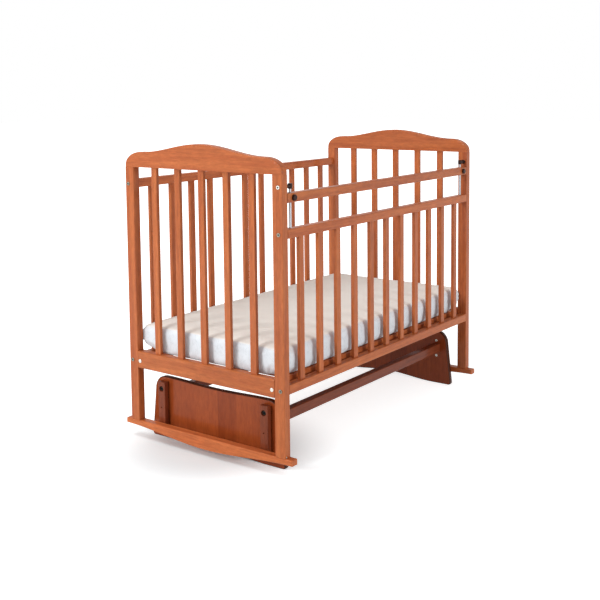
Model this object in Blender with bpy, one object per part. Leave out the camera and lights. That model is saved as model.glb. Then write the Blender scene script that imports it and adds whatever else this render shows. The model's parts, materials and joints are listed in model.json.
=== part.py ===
"""Wooden crib that hangs in a pendulum base and swings sideways.

The length runs along X, from the near end at -X to the far end at +X.
The front, with the drop rail, faces -Y, and the floor is at z = 0.
"""

import bmesh
import bpy
from math import asin, cos, degrees, pi, radians, sin, sqrt
from mathutils import Matrix, Vector

# The whole crib, in metres
crib_length = 1.250
crib_width = 0.684
fit_gap = 0.0003
stock = 0.029
edge_round = 0.0025
edge_steps = 2

# Corner posts
post_depth = 0.039
post_length = 0.8935

# Runners under the posts
runner_length = 0.736
runner_thick = 0.031
runner_top = 0.064
runner_mid_height = 0.0425
runner_end_height = 0.0190
runner_points = 26

# Shaped top rails of the two ends
shoulder_height = 0.0532
shoulder_run = 0.075
shoulder_fall = 0.047
shoulder_steps = 8
crown_height = 0.0325
crown_reach_share = 0.775
crown_points = 24
top_rail_round = 0.005

# Lower rails of the two ends
end_rail_height = 0.060
end_rail_bottom = 0.253

# Rails of the two long sides; a drop is measured from the posts' tops down to the rail's underside
side_rail_height = 0.030
front_bottom_rail_bottom = 0.264
second_rail_drop = 0.2007
drop_rail_drop = 0.0893
back_top_rail_drop = 0.0734

# Slats
slat_width = 0.025
slat_thick = 0.013
slat_round = 0.0018
mortise_depth = 0.010
end_slat_count = 5
end_slat_end_gap = 0.0778
side_slat_count = 11
side_slat_end_gap = 0.068

# Drop rail guides, knobs and latch pins
rod_radius = 0.004
rod_clear = 0.0004
rod_inset = 0.031
rod_seat_depth = 0.018
head_radius = 0.0075
head_height = 0.017
head_drop = 0.0474
head_socket_depth = 0.012
neck_radius = 0.0058
flange_radius = 0.008
flange_thick = 0.005
drop_end_clear = 0.0012
knob_radius = 0.010
knob_height = 0.008
knob_round = 0.0022
latch_pin_radius = 0.003
latch_pin_clear = 0.0004
knob_travel = 0.006

# Mattress base
base_rail_thick = 0.020
base_rail_height = 0.041
base_rail_bottom = 0.2655
base_post_clear = 0.004
base_housing_depth = 0.008
base_slat_count = 12
base_slat_width = 0.060
base_slat_thick = 0.008
base_slat_lap = 0.014
base_slat_proud = 0.001

# Mattress with its fitted sheet
mattress_thick = 0.0945
mattress_side_clear = 0.0055
mattress_end_clear = 0.0015
mattress_corner = 0.028
mattress_top_round = 0.040
mattress_bottom_round = 0.028
mattress_crown = 0.007
mattress_draw_in = 0.003
mattress_corner_steps = 5
mattress_side_steps = 9
mattress_round_steps = 4
mattress_crown_rings = 7

# Boards of the pendulum base
board_thick = 0.020
board_height = 0.220
board_foot_half = 0.298
board_top_half = 0.274
board_corner = 0.048
board_corner_steps = 6
board_foot_round = 0.010
board_foot_steps = 3
board_foot_length = 0.085
board_arch_rise = 0.014
board_arch_points = 12
board_top_hollow = 0.006
board_top_points = 8
board_round = 0.004

# Stretchers between the boards
stretcher_height = 0.035
stretcher_depth = 0.030
stretcher_drop = 0.0303
stretcher_offset = 0.235
stretcher_housing_depth = 0.007

# Swing arms and their pivots
arm_thick = 0.020
arm_width = 0.032
arm_runner_gap = 0.005
arm_board_gap = 0.003
pivot_offset = 0.2285
upper_pivot_height = 0.181
lower_pivot_height = 0.050
arm_above_pivot = 0.0248
arm_below_pivot = 0.014
lock_hole_drop = 0.0663
lock_hole_radius = 0.0025

# Pivot bolts
pivot_radius = 0.004
pivot_clear = 0.0003
pivot_head_radius = 0.0068
pivot_head_height = 0.0045
counterbore_radius = 0.0078
counterbore_depth = 0.006
runner_bolt_depth = 0.022

# Bolts of the frame
bolt_radius = 0.003
bolt_head_radius = 0.0062
bolt_head_height = 0.0024
bolt_hold = 0.025
hole_clear = 0.0003
socket_share = 0.36
socket_depth_share = 0.7
head_crown_share = 0.8

# Round tenons of the ends' joints
tenon_radius = 0.0045
tenon_length = 0.018
runner_tenon_length = 0.012
tenon_clear = 0.0003
tenon_spread_share = 0.5

# Counts of sides and the overrun of every cut
round_sides = 16
small_sides = 12
overrun = 0.002

half_length = crib_length / 2
half_width = crib_width / 2
post_bottom = runner_top
post_top = runner_top + post_length
second_rail_bottom = post_top - second_rail_drop
drop_rail_bottom = post_top - drop_rail_drop
back_top_rail_bottom = post_top - back_top_rail_drop
head_bottom = post_top - head_drop
post_mid_y = half_width - post_depth / 2
inner_x = half_length - stock
inner_y = half_width - post_depth
side_inner_y = half_width - stock
stock_mid_x = half_length - stock / 2
side_mid_y = half_width - stock / 2
ends = {"near": -1, "far": 1}
sides = {"front": -1, "back": 1}


def finish(name, colour, roughness, metallic=0.0):
    """A Principled BSDF material."""
    material = bpy.data.materials.new(name)
    material.use_nodes = True
    shader = material.node_tree.nodes["Principled BSDF"]
    shader.inputs["Base Color"].default_value = (*colour, 1.0)
    shader.inputs["Roughness"].default_value = roughness
    shader.inputs["Metallic"].default_value = metallic
    return material


def clear_scene():
    for obj in list(bpy.data.objects):
        bpy.data.objects.remove(obj, do_unlink=True)


def group_empty(name, place, parent=None):
    """An empty that stands at a body's joint axis."""
    empty = bpy.data.objects.new(name, None)
    bpy.context.scene.collection.objects.link(empty)
    empty.parent = parent
    empty.location = place - (parent.matrix_world.translation if parent else Vector())
    bpy.context.view_layer.update()
    return empty


def piece(name, shape, place, material, parent):
    """Makes the object of a shape that is drawn about its own centre."""
    mesh = bpy.data.meshes.new(name)
    shape.to_mesh(mesh)
    shape.free()
    mesh.materials.append(material)
    obj = bpy.data.objects.new(name, mesh)
    bpy.context.scene.collection.objects.link(obj)
    obj.parent = parent
    obj.location = Vector(place) - parent.matrix_world.translation
    bpy.context.view_layer.update()
    return obj


def prism(outline, length, axis):
    """Extrudes an outline, given in the two other axes, about the middle of its length."""
    shape = bmesh.new()
    rows = []
    for end in (-length / 2, length / 2):
        row = []
        for u, v in outline:
            point = {"X": (end, u, v), "Y": (u, end, v), "Z": (u, v, end)}[axis]
            row.append(shape.verts.new(point))
        rows.append(row)
    count = len(outline)
    for i in range(count):
        j = (i + 1) % count
        shape.faces.new((rows[0][i], rows[0][j], rows[1][j], rows[1][i]))
    shape.faces.new(rows[0])
    shape.faces.new(rows[1])
    bmesh.ops.recalc_face_normals(shape, faces=shape.faces[:])
    return shape


def arc(centre, radius, start, end, steps):
    """Points along an arc, with angles in degrees."""
    points = []
    for i in range(steps + 1):
        angle = radians(start + (end - start) * i / steps)
        points.append((centre[0] + radius * cos(angle), centre[1] + radius * sin(angle)))
    return points


def rounded_box(width, height, radius, steps):
    """Outline of a rectangle with round corners, anticlockwise."""
    u = width / 2 - radius
    v = height / 2 - radius
    outline = []
    for su, sv, start in ((1, 1, 0), (-1, 1, 90), (-1, -1, 180), (1, -1, 270)):
        outline += arc((su * u, sv * v), radius, start, start + 90, steps)
    return outline


def bar(size, axis, radius):
    """A straight wooden member whose long edges are rounded."""
    across = {"X": (1, 2), "Y": (0, 2), "Z": (0, 1)}[axis]
    along = "XYZ".index(axis)
    outline = rounded_box(size[across[0]], size[across[1]], radius, edge_steps)
    return prism(outline, size[along], axis)


def turned(profile, sides, axis="Z"):
    """Turns a profile of (radius, height) pairs round an axis; its ends lie on the axis."""
    shape = bmesh.new()
    rings = []
    for radius, height in profile:
        if radius == 0:
            rings.append([shape.verts.new((0, 0, height))])
            continue
        ring = []
        for i in range(sides):
            angle = 2 * pi * i / sides
            ring.append(shape.verts.new((radius * cos(angle), radius * sin(angle), height)))
        rings.append(ring)
    for lower, upper in zip(rings, rings[1:]):
        for i in range(sides):
            j = (i + 1) % sides
            corners = [lower[i % len(lower)], lower[j % len(lower)]]
            corners += [upper[j % len(upper)], upper[i % len(upper)]]
            shape.faces.new(list(dict.fromkeys(corners)))
    turns = {"X": Matrix.Rotation(pi / 2, 4, "Y"), "Y": Matrix.Rotation(pi / 2, 4, "X")}
    bmesh.ops.transform(shape, matrix=turns.get(axis, Matrix()), verts=shape.verts[:])
    bmesh.ops.recalc_face_normals(shape, faces=shape.faces[:])
    return shape


def cylinder(radius, length, sides, axis):
    half = length / 2
    return turned([(0, -half), (radius, -half), (radius, half), (0, half)], sides, axis)


def joined(shapes_and_places):
    """Puts several separate solids in one shape."""
    total = bmesh.new()
    for shape, place in shapes_and_places:
        bmesh.ops.translate(shape, verts=shape.verts[:], vec=Vector(place))
        mesh = bpy.data.meshes.new("part")
        shape.to_mesh(mesh)
        shape.free()
        total.from_mesh(mesh)
        bpy.data.meshes.remove(mesh)
    return total


def boolean(obj, shape, operation):
    """Cuts or joins a shape given in world places, which never shows itself."""
    mesh = bpy.data.meshes.new(obj.name + "_tool")
    shape.to_mesh(mesh)
    shape.free()
    tool = bpy.data.objects.new(obj.name + "_tool", mesh)
    bpy.context.scene.collection.objects.link(tool)
    tool.hide_render = True
    tool.display_type = "WIRE"
    modifier = obj.modifiers.new(operation.lower(), "BOOLEAN")
    modifier.operation = operation
    modifier.solver = "EXACT"
    modifier.object = tool


def cut(obj, shapes_and_places):
    boolean(obj, joined(shapes_and_places), "DIFFERENCE")


def hole(start, end, radius, sides=small_sides):
    """A round cutter from one world place to another, along one axis."""
    start = Vector(start)
    end = Vector(end)
    span = end - start
    axis = "XYZ"[max(range(3), key=lambda i: abs(span[i]))]
    return cylinder(radius, span.length, sides, axis), (start + end) / 2


def nothing(edge):
    return False


def at_joint(edge):
    """The sharp edges of a top rail's underside and of its short upright ends."""
    return max(vert.co.z for vert in edge.verts) < shoulder_height - shoulder_fall


def at_floor(edge):
    """The edges of a board's feet and arch."""
    return max(vert.co.z for vert in edge.verts) < board_arch_rise + overrun


def soften(shape, radius, is_sharp):
    """Rounds the edges between a prism's caps and its rim, but not those that stay sharp."""
    edges = []
    for edge in shape.edges:
        at_cap = max(len(face.verts) for face in edge.link_faces) > 4
        if at_cap and not is_sharp(edge):
            edges.append(edge)
    bmesh.ops.bevel(
        shape,
        geom=edges,
        offset=radius,
        segments=edge_steps,
        profile=0.5,
        affect="EDGES",
        clamp_overlap=True,
    )
    return shape


def bolt(radius, length, head_radius, head_height, sides=small_sides):
    """A bolt along Z: the shank runs down from z = 0, the head with its socket stands above."""
    socket = head_radius * socket_share
    crown = head_radius * head_crown_share
    floor = head_height * (1 - socket_depth_share)
    profile = [(0, -length), (radius, -length), (radius, 0), (head_radius, 0)]
    profile += [(head_radius, head_height / 2), (crown, head_height)]
    profile += [(socket, head_height), (socket, floor), (0, floor)]
    return turned(profile, sides)


def aimed(shape, direction):
    """Turns a shape's +Z to a world direction."""
    turn = Vector((0, 0, 1)).rotation_difference(Vector(direction)).to_matrix().to_4x4()
    bmesh.ops.transform(shape, matrix=turn, verts=shape.verts[:])
    return shape


def spread(count, span, width, end_gap=None):
    """Centres of members in a span, with equal gaps between them and, if given, another at its ends."""
    pitch = (span + width) / (count + 1)
    if end_gap:
        pitch = (span - width - 2 * end_gap) / (count - 1)
    return [pitch * (i - (count - 1) / 2) for i in range(count)]


def make_finishes():
    return {
        "frame": finish("frame_wood", (0.42, 0.135, 0.055), 0.42),
        "base": finish("base_wood", (0.26, 0.068, 0.028), 0.45),
        "sheet": finish("sheet_cotton", (0.86, 0.85, 0.82), 0.9),
        "zinc": finish("zinc_steel", (0.72, 0.72, 0.70), 0.35, 1.0),
        "chrome": finish("chrome_rod", (0.80, 0.80, 0.81), 0.12, 1.0),
        "plastic": finish("dark_plastic", (0.030, 0.015, 0.012), 0.35),
    }


head_mid = head_bottom + head_height / 2
rod_x = inner_x - rod_inset
end_slats_y = spread(end_slat_count, 2 * inner_y, slat_width, end_slat_end_gap)
side_slats_x = spread(side_slat_count, 2 * inner_x, slat_width, side_slat_end_gap)
base_mid_z = base_rail_bottom + base_rail_height / 2
base_top = base_rail_bottom + base_rail_height + base_slat_proud
base_rail_y = inner_y - base_post_clear - base_rail_thick / 2
drop_mid_z = drop_rail_bottom + side_rail_height / 2
end_tenon_heights = [
    end_rail_bottom + end_rail_height * (1 + s * tenon_spread_share) / 2 for s in (-1, 1)
]

# Heights of the bolts through each post, which hold the long rails and the rod heads
bolt_heights = {
    "front": {
        "low": front_bottom_rail_bottom + side_rail_height / 2,
        "middle": second_rail_bottom + side_rail_height / 2,
        "top": head_mid,
    },
    "back": {
        "low": front_bottom_rail_bottom + side_rail_height / 2,
        "top": back_top_rail_bottom + side_rail_height / 2,
    },
}


def make_posts(finishes, crib):
    """Four corner posts with round tenons at both ends, drilled for bolts and end rails."""
    for end, sx in ends.items():
        for side, sy in sides.items():
            x = sx * stock_mid_x
            y = sy * post_mid_y
            size = (stock, post_depth, post_length - 2 * fit_gap)
            middle = (post_bottom + post_top) / 2
            shape = bar(size, "Z", edge_round)
            post = piece(f"post_{end}_{side}", shape, (x, y, middle), finishes["frame"], crib)
            upper = (post_top - tenon_length, post_top + tenon_length - fit_gap)
            lower = (post_bottom - runner_tenon_length, post_bottom + tenon_length)
            tenons = [hole((x, y, low), (x, y, high), tenon_radius) for low, high in (upper, lower)]
            boolean(post, joined(tenons), "UNION")
            outer = sx * (half_length + overrun)
            inner = sx * (inner_x - overrun)
            holes = []
            for z in bolt_heights[side].values():
                bolt_y = sy * side_mid_y
                radius = bolt_radius + hole_clear
                holes.append(hole((outer, bolt_y, z), (inner, bolt_y, z), radius))
            for z in end_tenon_heights:
                start = (x, sy * (inner_y - overrun), z)
                stop = (x, sy * (inner_y + tenon_length), z)
                holes.append(hole(start, stop, tenon_radius + tenon_clear))
            cut(post, holes)


def runner_bottom(y):
    """Height of the runner's underside: deep in the middle, shallow at the ends."""
    swell = (1 + cos(2 * pi * y / runner_length)) / 2
    return runner_top - runner_end_height - (runner_mid_height - runner_end_height) * swell


def make_runners(finishes, crib):
    """Two curved runners, which carry the posts and hang from the arms."""
    half = runner_length / 2
    outline = [(half, 0), (-half, 0)]
    for i in range(runner_points + 1):
        y = -half + runner_length * i / runner_points
        outline.append((y, runner_bottom(y) - runner_top))
    x_mid = half_length - runner_thick / 2
    for end, sx in ends.items():
        shape = prism(outline, runner_thick, "X")
        soften(shape, edge_round, nothing)
        place = (sx * x_mid, 0, runner_top)
        runner = piece(f"runner_{end}", shape, place, finishes["frame"], crib)
        holes = []
        inner = sx * (half_length - runner_thick)
        for sy in sides.values():
            x = sx * stock_mid_x
            y = sy * post_mid_y
            low = runner_top - runner_tenon_length - fit_gap
            start = (x, y, low)
            holes.append(hole(start, (x, y, runner_top + overrun), tenon_radius + tenon_clear))
            start = (inner - sx * overrun, sy * pivot_offset, lower_pivot_height)
            stop = (inner + sx * runner_bolt_depth, sy * pivot_offset, lower_pivot_height)
            holes.append(hole(start, stop, pivot_radius + hole_clear))
        cut(runner, holes)


def top_rail_outline():
    """Side view of a shaped top rail, from its joint with the posts at z = 0."""
    reach = half_width * crown_reach_share
    flat = half_width - shoulder_run
    low = shoulder_height - shoulder_fall
    quarter = arc((0, 0), 1, 0, 90, shoulder_steps)
    right = [(flat + shoulder_run * along, low + shoulder_fall * up) for along, up in quarter]
    swell = []
    for i in range(1, crown_points):
        y = reach * (1 - 2 * i / crown_points)
        swell.append((y, shoulder_height + crown_height * (1 + cos(pi * y / reach)) / 2))
    left = [(-y, z) for y, z in reversed(right)]
    return [(-half_width, 0), (half_width, 0)] + right + swell + left


def mortise(x, y, z, kind):
    """A slat's pocket, with the clearance that its end needs."""
    across = slat_width + 2 * fit_gap
    thick = slat_thick + 2 * fit_gap
    deep = mortise_depth + overrun
    size = (thick, across, deep) if kind == "end" else (across, thick, deep)
    return bar(size, "Z", slat_round), (x, y, z)


def make_top_rails(finishes, crib):
    """Shaped rails on top of the posts, with mortises for the end slats."""
    pocket_mid = post_top + (mortise_depth - overrun) / 2
    for end, sx in ends.items():
        shape = prism(top_rail_outline(), stock, "X")
        soften(shape, top_rail_round, at_joint)
        x = sx * stock_mid_x
        rail = piece(f"top_rail_{end}", shape, (x, 0, post_top), finishes["frame"], crib)
        cut(rail, [mortise(x, y, pocket_mid, "end") for y in end_slats_y])
        holes = []
        for sy in sides.values():
            y = sy * post_mid_y
            stop = (x, y, post_top + tenon_length)
            holes.append(hole((x, y, post_top - overrun), stop, tenon_radius + tenon_clear))
        cut(rail, holes)


def make_end_rails(finishes, crib):
    """Lower rails between the posts of each end, housed for the rails of the mattress base."""
    length = 2 * (inner_y - fit_gap)
    middle = end_rail_bottom + end_rail_height / 2
    top = end_rail_bottom + end_rail_height
    for end, sx in ends.items():
        x = sx * stock_mid_x
        shape = bar((stock, length, end_rail_height), "Y", edge_round)
        rail = piece(f"end_rail_{end}", shape, (x, 0, middle), finishes["frame"], crib)
        tenons = []
        for sy in sides.values():
            for z in end_tenon_heights:
                start = (x, sy * (inner_y - tenon_length), z)
                stop = (x, sy * (inner_y + tenon_length - fit_gap), z)
                tenons.append(hole(start, stop, tenon_radius))
        boolean(rail, joined(tenons), "UNION")
        cut(rail, [mortise(x, y, top - (mortise_depth - overrun) / 2, "end") for y in end_slats_y])
        pockets = []
        depth = base_housing_depth + fit_gap + overrun
        size = (depth, base_rail_thick + 2 * fit_gap, base_rail_height + 2 * fit_gap)
        for sy in sides.values():
            place = (sx * (inner_x - overrun + depth / 2), sy * base_rail_y, base_mid_z)
            pockets.append((bar(size, "X", slat_round), place))
        cut(rail, pockets)


def make_end_slats(finishes, crib):
    """Upright slats of the two ends, each its own piece."""
    low = end_rail_bottom + end_rail_height - mortise_depth + fit_gap
    high = post_top + mortise_depth - fit_gap
    for end, sx in ends.items():
        for number, y in enumerate(end_slats_y, 1):
            shape = bar((slat_thick, slat_width, high - low), "Z", slat_round)
            place = (sx * stock_mid_x, y, (low + high) / 2)
            piece(f"end_slat_{end}_{number}", shape, place, finishes["frame"], crib)


def side_rail(name, side, bottom, finishes, crib):
    """A long rail between two posts, drilled for the bolts at its ends."""
    sy = sides[side]
    length = 2 * (inner_x - fit_gap)
    middle = bottom + side_rail_height / 2
    shape = bar((length, stock, side_rail_height), "X", edge_round)
    rail = piece(name, shape, (0, sy * side_mid_y, middle), finishes["frame"], crib)
    holes = []
    for sx in ends.values():
        start = (sx * (inner_x + overrun), sy * side_mid_y, middle)
        stop = (sx * (inner_x - bolt_hold - hole_clear), sy * side_mid_y, middle)
        holes.append(hole(start, stop, bolt_radius + hole_clear))
    cut(rail, holes)
    return rail


def make_sides(finishes, crib):
    """The fixed parts of the long sides: slats glued in a bottom rail, under a mortised rail."""
    names = {"front": "second_rail", "back": "back_top_rail"}
    bottoms = {"front": second_rail_bottom, "back": back_top_rail_bottom}
    low = front_bottom_rail_bottom + side_rail_height - mortise_depth
    for side, sy in sides.items():
        y = sy * side_mid_y
        upper_bottom = bottoms[side]
        high = upper_bottom + mortise_depth - fit_gap
        comb = side_rail(f"{side}_slats_and_rail", side, front_bottom_rail_bottom, finishes, crib)
        slats = []
        for x in side_slats_x:
            shape = bar((slat_width, slat_thick, high - low), "Z", slat_round)
            slats.append((shape, (x, y, (low + high) / 2)))
        boolean(comb, joined(slats), "UNION")
        upper = side_rail(names[side], side, upper_bottom, finishes, crib)
        pocket_mid = upper_bottom + (mortise_depth - overrun) / 2
        cut(upper, [mortise(x, y, pocket_mid, "side") for x in side_slats_x])
        if side == "back":
            continue
        top = upper_bottom + side_rail_height
        seats = []
        for sx in ends.values():
            start = (sx * rod_x, y, top - rod_seat_depth)
            seats.append(hole(start, (sx * rod_x, y, top + overrun), rod_radius + fit_gap))
        cut(upper, seats)


def make_guides(finishes, crib):
    """Steel rods that the drop rail runs on, each in a plastic head on its post."""
    rod_low = second_rail_bottom + side_rail_height - rod_seat_depth + fit_gap
    rod_high = head_bottom + head_socket_depth - fit_gap
    half = head_height / 2
    edge = head_radius / 4
    profile = [(0, -half), (head_radius - edge, -half), (head_radius, edge - half)]
    profile += [(radius, -height) for radius, height in reversed(profile)]
    y = -side_mid_y
    for end, sx in ends.items():
        x = sx * rod_x
        shape = cylinder(rod_radius, rod_high - rod_low, round_sides, "Z")
        place = (x, y, (rod_low + rod_high) / 2)
        piece(f"guide_rod_{end}", shape, place, finishes["chrome"], crib)
        shape = turned(profile, round_sides)
        head = piece(f"rod_head_{end}", shape, (x, y, head_mid), finishes["plastic"], crib)
        face = sx * (inner_x - fit_gap)
        reach = rod_inset - fit_gap
        neck = [(0, 0), (neck_radius, 0), (neck_radius, reach - flange_thick)]
        neck += [(flange_radius, reach - flange_thick), (flange_radius, reach), (0, reach)]
        arm = aimed(turned(neck, round_sides), (sx, 0, 0))
        boolean(head, joined([(arm, (x, y, head_mid))]), "UNION")
        stop = (x, y, head_bottom + head_socket_depth)
        cut(head, [hole((x, y, head_bottom - overrun), stop, rod_radius + fit_gap)])
        start = (face + sx * overrun, y, head_mid)
        stop = (face - sx * (rod_inset - head_radius), y, head_mid)
        cut(head, [hole(start, stop, bolt_radius + hole_clear)])


def make_drop_rail(finishes, drop):
    """The rail that slides down the rods, bored for each rod and each latch pin."""
    length = 2 * (inner_x - drop_end_clear)
    shape = bar((length, stock, side_rail_height), "X", edge_round)
    rail = piece("drop_rail", shape, (0, -side_mid_y, drop_mid_z), finishes["frame"], drop)
    bores = []
    pin_bores = []
    for sx in ends.values():
        x = sx * rod_x
        low = drop_rail_bottom - overrun
        high = drop_rail_bottom + side_rail_height + overrun
        start = (x, -side_mid_y, low)
        bores.append(hole(start, (x, -side_mid_y, high), rod_radius + rod_clear, round_sides))
        start = (x, -(half_width + overrun), drop_mid_z)
        stop = (x, -(side_mid_y + rod_radius / 2), drop_mid_z)
        pin_bores.append(hole(start, stop, latch_pin_radius + hole_clear))
    cut(rail, bores)
    cut(rail, pin_bores)


def make_knobs(finishes, knobs):
    """Dark knobs on the front of the drop rail; each carries the pin that presses on its rod."""
    pin_length = half_width - side_mid_y - rod_radius - latch_pin_clear
    rim = knob_radius - knob_round
    profile = [(0, -pin_length), (latch_pin_radius, -pin_length), (latch_pin_radius, fit_gap)]
    profile += [(knob_radius, fit_gap)]
    for radius, height in arc((rim, knob_height - knob_round), knob_round, 0, 90, edge_steps):
        profile.append((radius, height))
    profile.append((0, knob_height))
    for end, sx in ends.items():
        shape = aimed(turned(profile, round_sides), (0, -1, 0))
        place = (sx * rod_x, -half_width, drop_mid_z)
        piece(f"latch_knob_{end}", shape, place, finishes["plastic"], knobs[end])


def make_slatted_base(finishes, crib):
    """The mattress base: two rails housed in the end rails, with slats glued across them."""
    length = 2 * (inner_x + base_housing_depth)
    slats_x = spread(base_slat_count, 2 * inner_x, base_slat_width)
    slat_half = base_rail_y - base_rail_thick / 2 + base_slat_lap
    size = (length, base_rail_thick, base_rail_height)
    rails = []
    for sy in sides.values():
        rails.append((bar(size, "X", slat_round), (0, sy * base_rail_y, 0)))
    base = piece("slatted_base", joined(rails), (0, 0, base_mid_z), finishes["frame"], crib)
    slats = []
    for x in slats_x:
        shape = bar((base_slat_width, 2 * slat_half, base_slat_thick), "Y", base_slat_proud / 2)
        slats.append((shape, (x, 0, base_top - base_slat_thick / 2)))
    boolean(base, joined(slats), "UNION")


def mattress_outline(inset):
    """Outline of the mattress at one level, drawn in between its corners."""
    half_x = inner_x - mattress_end_clear - inset
    half_y = side_inner_y - mattress_side_clear - inset
    radius = max(mattress_corner - inset, mattress_corner / 3)
    corners = []
    for sx, sy, start in ((1, 1, 0), (-1, 1, 90), (-1, -1, 180), (1, -1, 270)):
        centre = (sx * (half_x - radius), sy * (half_y - radius))
        corners.append(arc(centre, radius, start, start + 90, mattress_corner_steps))
    outline = []
    for i, corner in enumerate(corners):
        outline += corner
        start = corner[-1]
        end = corners[(i + 1) % 4][0]
        for k in range(1, mattress_side_steps):
            share = k / mattress_side_steps
            u = start[0] + (end[0] - start[0]) * share
            v = start[1] + (end[1] - start[1]) * share
            pull = mattress_draw_in * sin(pi * share)
            if i % 2 == 0:
                v -= pull if v > 0 else -pull
            else:
                u -= pull if u > 0 else -pull
            outline.append((u, v))
    return outline


def make_mattress(finishes, holder):
    """Mattress in a fitted sheet: crowned top, round edges, sides drawn in at their middles."""
    levels = []
    for i in range(mattress_round_steps + 1):
        angle = radians(90 * i / mattress_round_steps)
        inset = mattress_bottom_round * (1 - sin(angle))
        height = mattress_bottom_round * (1 - cos(angle))
        levels.append((mattress_outline(inset), height))
    for i in range(mattress_round_steps + 1):
        angle = radians(90 * i / mattress_round_steps)
        inset = mattress_top_round * (1 - cos(angle))
        height = mattress_thick - mattress_top_round * (1 - sin(angle))
        levels.append((mattress_outline(inset), height))
    rim = mattress_outline(mattress_top_round)
    for i in range(1, mattress_crown_rings):
        share = 1 - i / mattress_crown_rings
        ring = [(u * share, v * share) for u, v in rim]
        levels.append((ring, mattress_thick + mattress_crown * (1 - share * share)))
    shape = bmesh.new()
    rings = [[shape.verts.new((u, v, z)) for u, v in ring] for ring, z in levels]
    count = len(rim)
    for lower, upper in zip(rings, rings[1:]):
        for i in range(count):
            j = (i + 1) % count
            shape.faces.new((lower[i], lower[j], upper[j], upper[i]))
    shape.faces.new(list(reversed(rings[0])))
    tip = shape.verts.new((0, 0, mattress_thick + mattress_crown))
    for i in range(count):
        shape.faces.new((rings[-1][i], rings[-1][(i + 1) % count], tip))
    bmesh.ops.recalc_face_normals(shape, faces=shape.faces[:])
    piece("mattress", shape, (0, 0, base_top + fit_gap), finishes["sheet"], holder)


board_outer = half_length - runner_thick - arm_runner_gap - arm_thick - arm_board_gap
board_mid_x = board_outer - board_thick / 2
board_inner = board_outer - board_thick
arm_mid_x = board_outer + arm_board_gap + arm_thick / 2
arm_outer = arm_mid_x + arm_thick / 2
arm_inner = arm_mid_x - arm_thick / 2
lock_height = upper_pivot_height - lock_hole_drop
stretcher_mid_z = upper_pivot_height - stretcher_drop


def board_outline():
    """Side view of a base board: slanted sides, round shoulders, a slightly hollow top and a low arch."""
    lean = (board_foot_half - board_top_half) / board_height
    slant = sqrt(1 + lean * lean)
    tilt = degrees(asin(lean / slant))
    shoulder_z = board_height - board_corner
    shoulder_y = board_foot_half - lean * shoulder_z - board_corner * slant
    foot_y = board_foot_half - lean * board_foot_round - board_foot_round * slant
    right = arc((foot_y, board_foot_round), board_foot_round, -90, tilt, board_foot_steps)
    right += arc((shoulder_y, shoulder_z), board_corner, tilt, 90, board_corner_steps)
    left = [(-y, z) for y, z in reversed(right)]
    span = board_foot_half - board_foot_length
    arch = []
    for i in range(board_arch_points + 1):
        y = -span + 2 * span * i / board_arch_points
        arch.append((y, board_arch_rise * (1 + cos(pi * y / span)) / 2))
    top = []
    for i in range(1, board_top_points):
        y = shoulder_y * (1 - 2 * i / board_top_points)
        top.append((y, board_height - board_top_hollow * (1 + cos(pi * y / shoulder_y)) / 2))
    return right + top + left + arch


def make_boards(finishes, base):
    """Two end boards of the base, drilled for the pivots and housed for the stretchers."""
    for end, sx in ends.items():
        shape = prism(board_outline(), board_thick, "X")
        soften(shape, board_round, at_floor)
        place = (sx * board_mid_x, 0, 0)
        board = piece(f"base_board_{end}", shape, place, finishes["base"], base)
        outer = sx * (board_outer + overrun)
        inner = sx * (board_inner - overrun)
        holes = []
        pockets = []
        depth = stretcher_housing_depth + fit_gap + overrun
        size = (depth, stretcher_depth + 2 * fit_gap, stretcher_height + 2 * fit_gap)
        for sy in sides.values():
            y = sy * pivot_offset
            start = (outer, y, upper_pivot_height)
            stop = (inner, y, upper_pivot_height)
            holes.append(hole(start, stop, pivot_radius + pivot_clear, round_sides))
            place = (sx * (board_inner - overrun + depth / 2), sy * stretcher_offset, stretcher_mid_z)
            pockets.append((bar(size, "X", edge_round), place))
        cut(board, holes)
        cut(board, pockets)


def make_stretchers(finishes, base):
    """Two bars, housed in the boards, that hold them apart."""
    length = 2 * (board_inner + stretcher_housing_depth)
    for side, sy in sides.items():
        shape = bar((length, stretcher_depth, stretcher_height), "X", edge_round)
        place = (0, sy * stretcher_offset, stretcher_mid_z)
        piece(f"stretcher_{side}", shape, place, finishes["base"], base)


def make_arms(finishes, arms):
    """Four swing arms, each hung on its upper pivot and carrying a runner at its lower one."""
    top = upper_pivot_height + arm_above_pivot
    bottom = lower_pivot_height - arm_below_pivot
    for end, sx in ends.items():
        out = sx * overrun
        deep = sx * counterbore_depth
        outer = sx * arm_outer
        inner = sx * arm_inner
        for side, sy in sides.items():
            y = sy * pivot_offset
            shape = bar((arm_thick, arm_width, top - bottom), "Z", edge_round)
            place = (sx * arm_mid_x, y, (top + bottom) / 2)
            arm = piece(f"arm_{end}_{side}", shape, place, finishes["base"], arms[end, side])
            bores = []
            for z in (upper_pivot_height, lower_pivot_height):
                start = (outer + out, y, z)
                stop = (inner - out, y, z)
                bores.append(hole(start, stop, pivot_radius + pivot_clear, round_sides))
            start = (outer + out, y, lock_height)
            bores.append(hole(start, (inner - out, y, lock_height), lock_hole_radius))
            cut(arm, bores)
            z = upper_pivot_height
            seats = [hole((outer + out, y, z), (outer - deep, y, z), counterbore_radius, round_sides)]
            z = lower_pivot_height
            seats.append(hole((inner - out, y, z), (inner + deep, y, z), counterbore_radius, round_sides))
            cut(arm, seats)


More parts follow.
